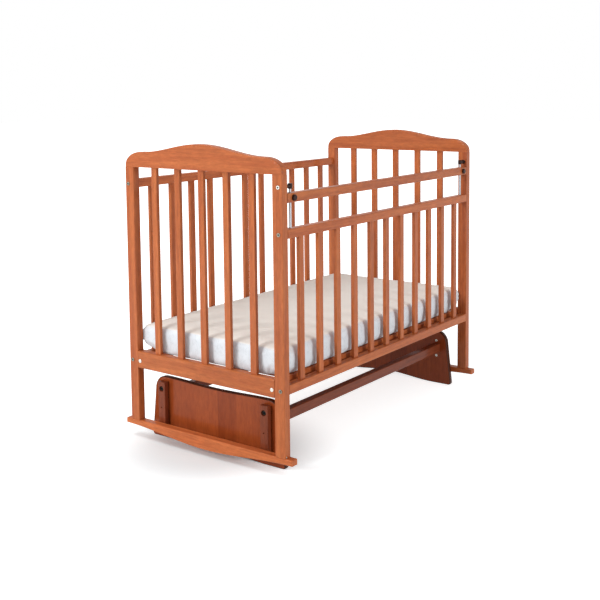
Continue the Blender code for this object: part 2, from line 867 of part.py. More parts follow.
def make_pivots(finishes, base, crib):
    """Pivot bolts: the upper ones hold the arms to the boards, the lower ones to the runners."""
    seat = counterbore_depth - fit_gap
    head = (pivot_head_radius, pivot_head_height, round_sides)
    runner_inner = half_length - runner_thick
    for end, sx in ends.items():
        for side, sy in sides.items():
            y = sy * pivot_offset
            start = arm_outer - seat
            shape = bolt(pivot_radius, start - board_inner - fit_gap, *head)
            place = (sx * start, y, upper_pivot_height)
            name = f"upper_pivot_{end}_{side}"
            piece(name, aimed(shape, (sx, 0, 0)), place, finishes["zinc"], base)
            start = arm_inner + seat
            shape = bolt(pivot_radius, runner_inner + runner_bolt_depth - hole_clear - start, *head)
            place = (sx * start, y, lower_pivot_height)
            name = f"lower_pivot_{end}_{side}"
            piece(name, aimed(shape, (-sx, 0, 0)), place, finishes["zinc"], crib)


def make_frame_bolts(finishes, crib):
    """Bolts through the posts that hold the long rails and the rod heads."""
    for end, sx in ends.items():
        for side, sy in sides.items():
            for level, z in bolt_heights[side].items():
                length = stock + bolt_hold
                if side == "front" and level == "top":
                    length = stock + rod_inset - head_radius - 2 * fit_gap
                shape = bolt(bolt_radius, length, bolt_head_radius, bolt_head_height)
                place = (sx * (half_length + fit_gap), sy * side_mid_y, z)
                name = f"bolt_{end}_{side}_{level}"
                piece(name, aimed(shape, (sx, 0, 0)), place, finishes["zinc"], crib)


def make_crib():
    clear_scene()
    finishes = make_finishes()
    base = group_empty("pendulum_base", Vector())
    arms = {}
    for end, sx in ends.items():
        for side, sy in sides.items():
            pivot = Vector((sx * arm_mid_x, sy * pivot_offset, upper_pivot_height))
            arms[end, side] = group_empty(f"pivot_{end}_{side}", pivot, base)
    lower = Vector((-arm_mid_x, -pivot_offset, lower_pivot_height))
    crib = group_empty("hung_crib", lower, arms["near", "front"])
    drop = group_empty("drop_rail_slide", Vector((0, -side_mid_y, drop_mid_z)), crib)
    knobs = {}
    for end, sx in ends.items():
        place = Vector((sx * rod_x, -half_width, drop_mid_z))
        knobs[end] = group_empty(f"knob_slide_{end}", place, drop)
    rest = group_empty("mattress_rest", Vector((0, 0, base_top)), crib)
    make_posts(finishes, crib)
    make_runners(finishes, crib)
    make_top_rails(finishes, crib)
    make_end_rails(finishes, crib)
    make_end_slats(finishes, crib)
    make_sides(finishes, crib)
    make_guides(finishes, crib)
    make_drop_rail(finishes, drop)
    make_knobs(finishes, knobs)
    make_slatted_base(finishes, crib)
    make_mattress(finishes, rest)
    make_boards(finishes, base)
    make_stretchers(finishes, base)
    make_arms(finishes, arms)
    make_pivots(finishes, base, crib)
    make_frame_bolts(finishes, crib)


make_crib()
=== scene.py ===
import bpy
import json
from math import cos, degrees, pi, radians, sin
from mathutils import Matrix, Vector, noise

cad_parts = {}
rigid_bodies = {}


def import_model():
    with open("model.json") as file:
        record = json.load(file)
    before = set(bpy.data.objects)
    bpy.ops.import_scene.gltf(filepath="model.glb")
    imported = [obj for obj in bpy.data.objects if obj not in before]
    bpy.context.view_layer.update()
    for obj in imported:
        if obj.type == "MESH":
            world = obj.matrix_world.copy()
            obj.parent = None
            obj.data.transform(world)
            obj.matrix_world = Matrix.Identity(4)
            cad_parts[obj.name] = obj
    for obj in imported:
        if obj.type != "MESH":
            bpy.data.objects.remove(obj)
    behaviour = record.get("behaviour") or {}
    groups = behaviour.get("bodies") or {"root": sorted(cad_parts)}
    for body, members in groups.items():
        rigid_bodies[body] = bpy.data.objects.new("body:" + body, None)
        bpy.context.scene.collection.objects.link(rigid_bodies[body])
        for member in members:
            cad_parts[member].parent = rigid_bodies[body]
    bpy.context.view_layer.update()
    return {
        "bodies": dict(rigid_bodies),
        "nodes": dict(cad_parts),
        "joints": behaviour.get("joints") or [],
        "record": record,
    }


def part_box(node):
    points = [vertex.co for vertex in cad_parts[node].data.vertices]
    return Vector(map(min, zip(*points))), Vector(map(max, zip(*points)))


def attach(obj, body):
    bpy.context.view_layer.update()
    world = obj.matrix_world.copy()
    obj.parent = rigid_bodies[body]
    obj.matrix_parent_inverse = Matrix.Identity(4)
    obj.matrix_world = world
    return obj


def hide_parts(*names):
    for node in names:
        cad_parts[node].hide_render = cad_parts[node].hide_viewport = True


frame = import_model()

scene = bpy.context.scene
ends = {"near": -1, "far": 1}
sides = {"front": -1, "back": 1}

# Camera at the photograph's place, with its centre of projection above the middle of the frame
cameraSet = {
    "place": (-2.9953, -2.1771, 1.2162),
    "turn": (84.770, 0.600, -53.374),
    "lens": 59.253,
    "shift": -0.2,
}
cameraData = bpy.data.cameras.new("camera")
cameraData.lens = cameraSet["lens"]
cameraData.sensor_width = 36
cameraData.shift_y = cameraSet["shift"]
camera = bpy.data.objects.new("camera", cameraData)
camera.location = cameraSet["place"]
camera.rotation_euler = [radians(angle) for angle in cameraSet["turn"]]
scene.collection.objects.link(camera)
scene.camera = camera
print("camera made")


# Material helpers
def newMaterial(name):
    material = bpy.data.materials.new(name)
    material.use_nodes = True
    tree = material.node_tree
    return material, tree, tree.nodes["Principled BSDF"]


def addNode(tree, kind, **values):
    node = tree.nodes.new(kind)
    for name, value in values.items():
        setattr(node, name, value)
    return node


def setInputs(node, **values):
    for name, value in values.items():
        node.inputs[name.replace("_", " ")].default_value = value


def mixColour(tree, first, second, factor, blend="MIX"):
    mix = addNode(tree, "ShaderNodeMix", data_type="RGBA", blend_type=blend)
    for socket, value in ((mix.inputs[6], first), (mix.inputs[7], second), (mix.inputs[0], factor)):
        if isinstance(value, bpy.types.NodeSocket):
            tree.links.new(value, socket)
        else:
            socket.default_value = value
    return mix.outputs[2]


def calculate(tree, operation, *values):
    node = addNode(tree, "ShaderNodeMath", operation=operation)
    for socket, value in zip(node.inputs, values):
        if isinstance(value, bpy.types.NodeSocket):
            tree.links.new(value, socket)
        else:
            socket.default_value = value
    return node.outputs[0]


def ramp(tree, factor, stops):
    node = addNode(tree, "ShaderNodeValToRGB")
    elements = node.color_ramp.elements
    while len(elements) < len(stops):
        elements.new(0.5)
    for element, (place, colour) in zip(elements, stops):
        element.position = place
        element.color = colour
    tree.links.new(factor, node.inputs[0])
    return node.outputs[0]


def addNoise(tree, vector, stretch, **values):
    mapping = addNode(tree, "ShaderNodeMapping")
    mapping.inputs["Scale"].default_value = stretch
    tree.links.new(vector, mapping.inputs[0])
    texture = addNode(tree, "ShaderNodeTexNoise")
    setInputs(texture, Scale=1, **values)
    tree.links.new(mapping.outputs[0], texture.inputs["Vector"])
    return texture.outputs[0]


def grey(level):
    return (level, level, level, 1)


# Stained wood: its grain runs along X of the members' own grain coordinates, in metres
woodSets = {
    "frameWood": {
        "light": (0.555, 0.158, 0.047, 1),
        "dark": (0.375, 0.084, 0.026, 1),
        "roughness": 0.38,
        "fibre": (2.2, 60, 60),
    },
    "baseWood": {
        "light": (0.260, 0.059, 0.022, 1),
        "dark": (0.155, 0.031, 0.011, 1),
        "roughness": 0.34,
        "fibre": (2.2, 60, 60),
    },
    "boardWood": {
        "light": (0.335, 0.067, 0.0150, 1),
        "dark": (0.280, 0.052, 0.0115, 1),
        "roughness": 0.34,
        "fibre": (1.1, 30, 30),
    },
}
# What all three woods share: how fine their pores and clouds are, and the lacquer
lacquerSet = {
    "pore": (28, 620, 620),
    "cloud": (26, 90, 90),
    "roughSpread": 0.14,
    "sockets": {"Specular IOR Level": 0.07, "Coat Weight": 0.24, "Coat Roughness": 0.12},
}
# The boards are glued up from staves: where each one ends across the board, as a share of its width
boardStaves = {
    "width": 0.60,
    "ends": (0.16, 0.34, 0.478, 0.66, 0.84),
    "shades": (0.93, 1.02, 0.84, 1.08, 0.98, 1.04),
    "redder": 1.3,
}


def staveShade(tree):
    split = addNode(tree, "ShaderNodeSeparateXYZ")
    tree.links.new(addNode(tree, "ShaderNodeTexCoord").outputs["Object"], split.inputs[0])
    across = calculate(tree, "ADD", calculate(tree, "DIVIDE", split.outputs["Y"], boardStaves["width"]), 0.5)
    places = (0,) + boardStaves["ends"]
    stops = []
    for place, level in zip(places, boardStaves["shades"]):
        rest = level ** boardStaves["redder"]
        stops.append((place, (level, rest, rest, 1)))
    shade = ramp(tree, across, stops)
    shade.node.color_ramp.interpolation = "CONSTANT"
    return shade


def makeWood(name, settings):
    material, tree, shader = newMaterial(name)
    grain = addNode(tree, "ShaderNodeAttribute", attribute_name="grain").outputs["Vector"]
    tone = addNode(tree, "ShaderNodeAttribute", attribute_name="tone").outputs["Color"]
    fibre = addNoise(tree, grain, settings["fibre"], Detail=6, Roughness=0.62, Distortion=0.6)
    pore = addNoise(tree, grain, lacquerSet["pore"], Detail=3, Roughness=0.5)
    cloud = addNoise(tree, grain, lacquerSet["cloud"], Detail=5, Roughness=0.75)
    streak = ramp(tree, fibre, [(0.30, grey(0)), (0.70, grey(1))])
    base = mixColour(tree, settings["dark"], settings["light"], streak)
    blotch = ramp(tree, cloud, [(0.30, grey(0.80)), (0.72, grey(1.14))])
    base = mixColour(tree, base, blotch, 1.0, "MULTIPLY")
    dots = ramp(tree, pore, [(0.36, grey(0.72)), (0.50, grey(1))])
    base = mixColour(tree, base, dots, 0.5, "MULTIPLY")
    if name == "boardWood":
        base = mixColour(tree, base, staveShade(tree), 1.0, "MULTIPLY")
    base = mixColour(tree, base, tone, 1.0, "MULTIPLY")
    tree.links.new(base, shader.inputs["Base Color"])
    rough = addNode(tree, "ShaderNodeMapRange")
    setInputs(rough, To_Min=settings["roughness"], To_Max=settings["roughness"] + lacquerSet["roughSpread"])
    tree.links.new(fibre, rough.inputs[0])
    tree.links.new(rough.outputs[0], shader.inputs["Roughness"])
    bump = addNode(tree, "ShaderNodeBump")
    setInputs(bump, Strength=0.12, Distance=0.0006)
    tree.links.new(pore, bump.inputs["Height"])
    tree.links.new(bump.outputs[0], shader.inputs["Normal"])
    for socket, value in lacquerSet["sockets"].items():
        shader.inputs[socket].default_value = value
    return material


frameWood, baseWood, boardWood = [makeWood(name, settings) for name, settings in woodSets.items()]

# The two zincs are one metal: the darker one paints the shade that most frame bolts and the lower pivots sit
# in, and the brighter one paints the screws and the front top bolts as lit
metalSets = {
    "zinc": {"colour": (0.26, 0.245, 0.20, 1), "roughness": 0.30, "scale": 420},
    "litZinc": {"colour": (0.62, 0.61, 0.57, 1), "roughness": 0.24, "scale": 420},
    "chrome": {"colour": (0.36, 0.36, 0.38, 1), "roughness": 0.08, "scale": 160},
    "blackSteel": {"colour": (0.022, 0.020, 0.018, 1), "roughness": 0.18, "scale": 500},
}


def makeMetal(name, settings):
    material, tree, shader = newMaterial(name)
    place = addNode(tree, "ShaderNodeTexCoord").outputs["Object"]
    spots = addNoise(tree, place, [settings["scale"]] * 3, Detail=4, Roughness=0.6)
    shade = ramp(tree, spots, [(0.3, grey(0.82)), (0.7, grey(1.05))])
    base = mixColour(tree, settings["colour"], shade, 1.0, "MULTIPLY")
    tree.links.new(base, shader.inputs["Base Color"])
    rough = addNode(tree, "ShaderNodeMapRange")
    setInputs(rough, To_Min=settings["roughness"], To_Max=settings["roughness"] * 1.6)
    tree.links.new(spots, rough.inputs[0])
    tree.links.new(rough.outputs[0], shader.inputs["Roughness"])
    shader.inputs["Metallic"].default_value = 1
    return material


zinc, litZinc, chrome, blackSteel = [makeMetal(name, settings) for name, settings in metalSets.items()]


def makePlastic():
    material, tree, shader = newMaterial("darkPlastic")
    place = addNode(tree, "ShaderNodeTexCoord").outputs["Object"]
    spark = addNoise(tree, place, (900, 900, 900), Detail=2)
    shade = ramp(tree, spark, [(0.3, (0.018, 0.006, 0.004, 1)), (0.7, (0.040, 0.012, 0.008, 1))])
    tree.links.new(shade, shader.inputs["Base Color"])
    bump = addNode(tree, "ShaderNodeBump")
    setInputs(bump, Strength=0.08, Distance=0.0003)
    tree.links.new(spark, bump.inputs["Height"])
    tree.links.new(bump.outputs[0], shader.inputs["Normal"])
    shader.inputs["Roughness"].default_value = 0.32
    shader.inputs["Specular IOR Level"].default_value = 0.12
    return material


darkPlastic = makePlastic()


# Modelling helpers
def selectOnly(*pieces):
    for thing in bpy.context.selected_objects:
        thing.select_set(False)
    for piece in pieces:
        piece.select_set(True)
        bpy.context.view_layer.objects.active = piece


# A primitive cube between two corners, with its place and size applied
def addBlock(low, high):
    low, high = Vector(low), Vector(high)
    selectOnly()
    bpy.ops.mesh.primitive_cube_add(size=1, location=(low + high) / 2)
    block = bpy.context.object
    block.scale = high - low
    bpy.ops.object.transform_apply(location=True, rotation=True, scale=True)
    return block


# Opens edit mode with the edges selected whose two ends pass a test
def selectEdges(piece, isChosen):
    selectOnly(piece)
    bpy.ops.object.mode_set(mode="EDIT")
    bpy.ops.mesh.select_mode(type="EDGE")
    bpy.ops.mesh.select_all(action="DESELECT")
    bpy.ops.object.mode_set(mode="OBJECT")
    points = [vert.co.copy() for vert in piece.data.vertices]
    for edge in piece.data.edges:
        edge.select = isChosen(points[edge.vertices[0]], points[edge.vertices[1]])
    bpy.ops.object.mode_set(mode="EDIT")


def bevelEdges(piece, isChosen, width, segments):
    selectEdges(piece, isChosen)
    bpy.ops.mesh.bevel(
        offset=width, offset_type="OFFSET", segments=segments, clamp_overlap=True, affect="EDGES"
    )
    bpy.ops.object.mode_set(mode="OBJECT")


memberCount = 0
# Steps from one member to the next: of its place in the grain, and in the noise of its shade and its warmth
grainSteps = {"shift": (3.17, 0.731, 1.293), "shade": 1.37, "warmth": 1.91, "still": 0.5}


# Stores each point's place along and across the grain, shifted so that no two members match
def setGrain(piece, along, spread=0.06, tint=1):
    global memberCount
    memberCount += 1
    seed = memberCount
    still = grainSteps["still"]
    shift = Vector([seed * step for step in grainSteps["shift"]])
    level = tint * (1 + spread * 2 * noise.noise(Vector((seed * grainSteps["shade"], still, still))))
    warm = level * (1 + spread * noise.noise(Vector((still, seed * grainSteps["warmth"], still))))
    order = {"X": (0, 1, 2), "Y": (1, 0, 2), "Z": (2, 1, 0)}[along]
    for name in ("grain", "tone"):
        if name not in piece.data.attributes:
            piece.data.attributes.new(name, "FLOAT_VECTOR", "POINT")
    grain, tone = [piece.data.attributes[name] for name in ("grain", "tone")]
    for i, vert in enumerate(piece.data.vertices):
        grain.data[i].vector = Vector([vert.co[k] for k in order]) + shift
        tone.data[i].vector = (level, warm, warm)


# A wooden member between two corners, with round long edges and eased ends
def addBar(low, high, along, radius, ease=0.0006, segments=4, **looks):
    bar = addBlock(low, high)
    axis = "XYZ".index(along)
    reach = abs(high[axis] - low[axis])
    bevelEdges(bar, lambda start, end: abs(start[axis] - end[axis]) > reach / 2, radius, segments)
    bevelEdges(bar, lambda start, end: abs(start[axis] - end[axis]) < ease, ease, 2)
    setGrain(bar, along, **looks)
    return bar


# A copy with its own mesh, moved in its mesh
def copyMoved(piece, move, along=None):
    twin = piece.copy()
    twin.data = piece.data.copy()
    scene.collection.objects.link(twin)
    twin.data.transform(Matrix.Translation(move))
    if along:
        setGrain(twin, along)
    return twin


def joinPieces(pieces):
    selectOnly(*reversed(pieces))
    bpy.ops.object.join()
    return bpy.context.object


# A side view in Y and Z, pushed along X between two places, with its rims rounded where they may be
def addProfile(points, low, high, radius, segments, isEased):
    selectOnly()
    bpy.ops.mesh.primitive_circle_add(vertices=len(points), fill_type="NGON", location=(0, 0, 0))
    piece = bpy.context.object
    for vert, (y, z) in zip(piece.data.vertices, points):
        vert.co = (low, y, z)
    bpy.ops.object.mode_set(mode="EDIT")
    bpy.ops.mesh.select_all(action="SELECT")
    bpy.ops.mesh.extrude_region_move(TRANSFORM_OT_translate={"value": (high - low, 0, 0)})
    bpy.ops.mesh.select_all(action="SELECT")
    bpy.ops.mesh.normals_make_consistent(inside=False)
    bpy.ops.object.mode_set(mode="OBJECT")

    def isRim(start, end):
        return abs(start.x - end.x) < radius and isEased((start + end) / 2)

    bevelEdges(piece, isRim, radius, segments)
    return piece


# A round bar from one place to another
def addRound(start, end, radius, sides=40):
    start, end = Vector(start), Vector(end)
    turn = Vector((0, 0, 1)).rotation_difference(end - start).to_euler()
    selectOnly()
    bpy.ops.mesh.primitive_cylinder_add(
        vertices=sides, radius=radius, depth=(end - start).length, location=(start + end) / 2, rotation=turn
    )
    bpy.ops.object.transform_apply(location=True, rotation=True, scale=True)
    return bpy.context.object


# Rounds the rim of a round bar at the end that is nearest a place
def easeRim(piece, place, radius, width, segments=4):
    place = Vector(place)
    slack = 1.02
    reach = (radius + width / 2) * slack

    def isRim(start, end):
        return (start - place).length < reach and (end - place).length < reach

    bevelEdges(piece, isRim, width, segments)


# Cuts a tool out of a piece, or adds it, and leaves no tool behind
def combine(piece, tool, operation="DIFFERENCE"):
    modifier = piece.modifiers.new("combine", "BOOLEAN")
    modifier.operation = operation
    modifier.solver = "EXACT"
    modifier.object = tool
    selectOnly(piece)
    bpy.ops.object.modifier_apply(modifier="combine")
    bpy.data.objects.remove(tool)
    return piece


def finishPiece(piece, name, material, body, *nodes, slot="frame_wood", smooth=40):
    piece.name = piece.data.name = name
    piece.data.materials.clear()
    piece.data.materials.append(material)
    selectOnly(piece)
    bpy.ops.object.shade_smooth_by_angle(angle=radians(smooth))
    weights = piece.modifiers.new("weights", "WEIGHTED_NORMAL")
    weights.keep_sharp = True
    bpy.ops.object.modifier_apply(modifier="weights")
    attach(piece, body)
    if nodes:
        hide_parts(*nodes)
    return piece


def arc(centre, radius, start, end, steps):
    points = []
    for i in range(steps + 1):
        angle = radians(start + (end - start) * i / steps)
        points.append((centre[0] + radius * cos(angle), centre[1] + radius * sin(angle)))
    return points


def ordered(first, second):
    return sorted((first, second))


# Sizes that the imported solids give
railLow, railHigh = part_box("end_rail_near")
halfLength = -railLow.x
stock = railHigh.x - railLow.x
halfWidth = -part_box("second_rail")[0].y
innerX = halfLength - stock
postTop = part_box("top_rail_near")[0].z
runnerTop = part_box("runner_near")[1].z
seam = 0.0003

# Corner posts
postSet = {"depth": 0.039, "round": 0.0026}
innerY = halfWidth - postSet["depth"]
for end, sx in ends.items():
    for side, sy in sides.items():
        node = f"post_{end}_{side}"
        x = ordered(sx * halfLength, sx * innerX)
        y = ordered(sy * halfWidth, sy * innerY)
        low = (x[0], y[0], runnerTop + seam)
        high = (x[1], y[1], postTop - seam)
        post = addBar(low, high, "Z", postSet["round"])
        finishPiece(post, f"look_{node}", frameWood, "crib", node)
print("posts made")

# Shaped top rails of the two ends
topRailSet = {
    "shoulder": 0.0532,
    "run": 0.075,
    "fall": 0.047,
    "crown": 0.0325,
    "reach": 0.265,
    "round": 0.0040,
    "shoulderSteps": 20,
    "crownSteps": 64,
}


def topRailLine():
    shoulder, run, fall, reach = [topRailSet[name] for name in ("shoulder", "run", "fall", "reach")]
    quarter = arc((0, 0), 1, 0, 90, topRailSet["shoulderSteps"])
    right = [(halfWidth + run * (along - 1), shoulder + fall * (up - 1)) for along, up in quarter]
    swell = []
    for i in range(1, topRailSet["crownSteps"]):
        y = reach * (1 - 2 * i / topRailSet["crownSteps"])
        swell.append((y, shoulder + topRailSet["crown"] * (1 + cos(pi * y / reach)) / 2))
    left = [(-y, z) for y, z in reversed(right)]
    line = [(-halfWidth, 0), (halfWidth, 0)] + right + swell + left
    return [(y, z + postTop) for y, z in line]


for end, sx in ends.items():
    node = f"top_rail_{end}"
    x = ordered(sx * halfLength, sx * innerX)
    above = topRailSet["round"] / 2

    def isAboveJoint(point):
        return point.z > postTop + above

    rail = addProfile(topRailLine(), *x, topRailSet["round"], 4, isAboveJoint)
    setGrain(rail, "Y")
    finishPiece(rail, f"look_{node}", frameWood, "crib", node)

# Lower rails and upright slats of the ends
endSet = {"railRound": 0.0036, "slatRound": 0.0018}
for end in ends:
    node = f"end_rail_{end}"
    low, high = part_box(node)
    low.y, high.y = seam - innerY, innerY - seam
    rail = addBar(low, high, "Y", endSet["railRound"])
    finishPiece(rail, f"look_{node}", frameWood, "crib", node)
firstLow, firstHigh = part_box("end_slat_near_1")
firstSlat = addBar(firstLow, firstHigh, "Z", endSet["slatRound"])
for end in ends:
    for number in range(1, 6):
        node = f"end_slat_{end}_{number}"
        slat = copyMoved(firstSlat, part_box(node)[0] - firstLow, "Z")
        finishPiece(slat, f"look_{node}", frameWood, "crib", node)
bpy.data.objects.remove(firstSlat)

# Curved runners under the posts
runnerSet = {"half": 0.368, "mid": 0.0425, "end": 0.0190, "corner": 0.004, "round": 0.0034, "points": 60}


def runnerLine():
    half, corner, count = runnerSet["half"], runnerSet["corner"], runnerSet["points"]
    line = []
    for i in range(count + 1):
        y = -half + 2 * half * i / count
        swell = (1 + cos(pi * y / half)) / 2
        line.append((y, -runnerSet["end"] - (runnerSet["mid"] - runnerSet["end"]) * swell))
    line += arc((half - corner, -corner), corner, 0, 90, 4)
    line += arc((corner - half, -corner), corner, 90, 180, 4)
    return [(y, z + runnerTop) for y, z in line]


for end in ends:
    node = f"runner_{end}"
    low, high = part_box(node)
    runner = addProfile(runnerLine(), low.x, high.x, runnerSet["round"], 4, lambda point: True)
    # Painted light: the runners' tone is raised by 12% for the light that the floor would bounce up onto them
    setGrain(runner, "Y", 0.03, 1.12)
    finishPiece(runner, f"look_{node}", frameWood, "crib", node)
print("ends made")

# Long rails, and the combs of slats glued in the bottom rails
sideSet = {"railRound": 0.0028, "railHeight": 0.030, "slatRound": 0.0018, "width": 0.025, "thick": 0.013}
sideSet.update({"count": 11, "endGap": 0.068, "glued": 0.010})
for node in ("second_rail", "back_top_rail", "drop_rail"):
    low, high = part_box(node)
    body = "drop_rail" if node == "drop_rail" else "crib"
    rail = addBar(low, high, "X", sideSet["railRound"])
    finishPiece(rail, f"look_{node}", frameWood, body, node)

pitch = (2 * (innerX - sideSet["endGap"]) - sideSet["width"]) / (sideSet["count"] - 1)
for side in sides:
    node = f"{side}_slats_and_rail"
    low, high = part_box(node)
    middle = (low.y + high.y) / 2
    railTop = low.z + sideSet["railHeight"]
    members = [addBar(low, (high.x, high.y, railTop), "X", sideSet["railRound"])]
    x = -pitch * (sideSet["count"] - 1) / 2
    corner = (x - sideSet["width"] / 2, middle - sideSet["thick"] / 2, railTop - sideSet["glued"])
    far = (x + sideSet["width"] / 2, middle + sideSet["thick"] / 2, high.z)
    members.append(addBar(corner, far, "Z", sideSet["slatRound"]))
    for i in range(1, sideSet["count"]):
        members.append(copyMoved(members[1], (pitch * i, 0, 0), "Z"))
    finishPiece(joinPieces(members), f"look_{node}", frameWood, "crib", node)
print("sides made")

# Mattress deck
deckSet = {
    "thick": 0.020,
    "slats": 12,
    "slatWidth": 0.060,
    "slatThick": 0.008,
    "lap": 0.014,
    "proud": 0.001,
    "railRound": 0.0026,
    "slatRound": 0.0012,
}
low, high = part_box("slatted_base")
railTop = high.z - deckSet["proud"]
members = []
for sy in sides.values():
    y = ordered(sy * high.y, sy * (high.y - deckSet["thick"]))
    members.append(addBar((low.x, y[0], low.z), (high.x, y[1], railTop), "X", deckSet["railRound"]))
deckPitch = (2 * innerX + deckSet["slatWidth"]) / (deckSet["slats"] + 1)
reach = high.y - deckSet["thick"] + deckSet["lap"]
x = -deckPitch * (deckSet["slats"] - 1) / 2
corner = (x - deckSet["slatWidth"] / 2, -reach, high.z - deckSet["slatThick"])
members.append(addBar(corner, (x + deckSet["slatWidth"] / 2, reach, high.z), "Y", deckSet["slatRound"]))
for i in range(1, deckSet["slats"]):
    members.append(copyMoved(members[2], (deckPitch * i, 0, 0), "Y"))
finishPiece(joinPieces(members), "look_slatted_base", frameWood, "crib", "slatted_base")
print("deck made")

# Boards of the pendulum base
boardSet = {
    "footHalf": 0.298,
    "topHalf": 0.274,
    "corner": 0.048,
    "foot": 0.010,
    "rise": 0.014,
    "span": 0.215,
    "hollow": 0.006,
    "round": 0.0040,
    # Share of their tone that the boards' edge faces keep: painted shade
    "rim": 0.22,
    "footSteps": 6,
    "cornerSteps": 16,
    "edgeSteps": 32,
    "stretcherRound": 0.0036,
}


def boardLine(height):
    lean = (boardSet["footHalf"] - boardSet["topHalf"]) / height
    slant = (1 + lean * lean) ** 0.5
    tilt = degrees(lean)
    foot, corner, span = boardSet["foot"], boardSet["corner"], boardSet["span"]
    shoulder = height - corner
    footY = boardSet["footHalf"] - lean * foot - foot * slant
    shoulderY = boardSet["footHalf"] - lean * shoulder - corner * slant
    right = arc((footY, foot), foot, -90, tilt, boardSet["footSteps"])
    right += arc((shoulderY, shoulder), corner, tilt, 90, boardSet["cornerSteps"])
    left = [(-y, z) for y, z in reversed(right)]
    steps = boardSet["edgeSteps"]
    top = []
    for i in range(1, steps):
        y = shoulderY * (1 - 2 * i / steps)
        top.append((y, height - boardSet["hollow"] * (1 + cos(pi * y / shoulderY)) / 2))
    arch = []
    for i in range(steps + 1):
        y = span * (2 * i / steps - 1)
        arch.append((y, boardSet["rise"] * (1 + cos(pi * y / span)) / 2))
    return right + top + left + arch


for end in ends:
    node = f"base_board_{end}"
    low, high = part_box(node)
    board = addProfile(boardLine(high.z), low.x, high.x, boardSet["round"], 4, lambda point: True)
    setGrain(board, "Z", 0.02)
    # Painted shade: the board's edge faces, its top among them, are darkened to a share of their tone for the
    # shade the crib casts on them
    tone = board.data.attributes["tone"]
    for i, vert in enumerate(board.data.vertices):
        if low.x + seam < vert.co.x < high.x - seam:
            tone.data[i].vector = [level * boardSet["rim"] for level in tone.data[i].vector]
    finishPiece(board, f"look_{node}", boardWood, "pendulum_base", node, slot="base_wood")

for side in sides:
    node = f"stretcher_{side}"
    low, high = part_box(node)
    stretcher = addBar(low, high, "X", boardSet["stretcherRound"])
    finishPiece(stretcher, f"look_{node}", baseWood, "pendulum_base", node, slot="base_wood")

# Swing arms, with their pivots' counterbores and a lock hole each
armSet = {
    "round": 0.0030,
    "ease": 0.0018,
    "bore": 0.0100,
    "deep": 0.0075,
    "lock": 0.0026,
    "lockDeep": 0.010,
    "pivotDrop": 0.0248,
    "lockBelowPivot": 0.0663,
    "overrun": 0.002,
}
armSet["lockDrop"] = armSet["pivotDrop"] + armSet["lockBelowPivot"]
for end, sx in ends.items():
    for side in sides:
        node = f"arm_{end}_{side}"
        low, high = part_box(node)
        arm = addBar(low, high, "Z", armSet["round"], armSet["ease"])
        outer = low.x if sx < 0 else high.x
        y = (low.y + high.y) / 2
        for radius, drop, deep in (("bore", "pivotDrop", "deep"), ("lock", "lockDrop", "lockDeep")):
            z = high.z - armSet[drop]
            start = (outer + sx * armSet["overrun"], y, z)
            bottom = (outer - sx * armSet[deep], y, z)
            combine(arm, addRound(start, bottom, armSet[radius]))
        setGrain(arm, "Z")
        finishPiece(arm, f"look_{node}", baseWood, node, node, slot="base_wood")
print("base made")

# Bolts of the frame and the upper pivots: a head with a hexagon socket, its rim eased, on its shank
boltSet = {
    "head": 0.0062,
    "tall": 0.0024,
    "shank": 0.0042,
    "socket": 0.0032,
    "deep": 0.0045,
    "ease": 0.0009,
}
pivotSet = {
    "head": 0.0072,
    "tall": 0.0046,
    "sunk": 0.0015,
    "shank": 0.0040,
    "socket": 0.0036,
    "deep": 0.0034,
    "ease": 0.0014,
}


def addBolt(face, direction, length, settings):
    face, direction = Vector(face), Vector(direction)
    top = face + direction * settings["tall"]
    head = addRound(face, top, settings["head"])
    easeRim(head, top, settings["head"], settings["ease"])
    over = direction * settings["deep"]
    combine(head, addRound(top + over, top - over, settings["socket"], 6))
    shank = addRound(face - direction * length, face, settings["shank"], 24)
    return joinPieces([head, shank])


for end, sx in ends.items():
    for side in sides:
        levels = ("low", "middle", "top") if side == "front" else ("low", "top")
        for level in levels:
            node = f"bolt_{end}_{side}_{level}"
            low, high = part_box(node)
            y, z = (low.y + high.y) / 2, (low.z + high.z) / 2
            bolt = addBolt((sx * halfLength, y, z), (sx, 0, 0), high.x - low.x - boltSet["tall"], boltSet)
            # Painted light: the front top bolts take the lit copy of zinc, and the other bolts take the
            # shaded one
            metal = litZinc if (side, level) == ("front", "top") else zinc
            finishPiece(bolt, f"look_{node}", metal, "crib", node, slot="zinc_steel", smooth=35)
        node = f"upper_pivot_{end}_{side}"
        low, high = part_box(node)
        y, z = (low.y + high.y) / 2, (low.z + high.z) / 2
        headTop = low.x if sx < 0 else high.x
        face = (headTop - sx * (pivotSet["tall"] + pivotSet["sunk"]), y, z)
        bolt = addBolt(face, (sx, 0, 0), high.x - low.x - pivotSet["tall"] - pivotSet["sunk"], pivotSet)
        finishPiece(bolt, f"look_{node}", blackSteel, "pendulum_base", node, slot="zinc_steel", smooth=35)

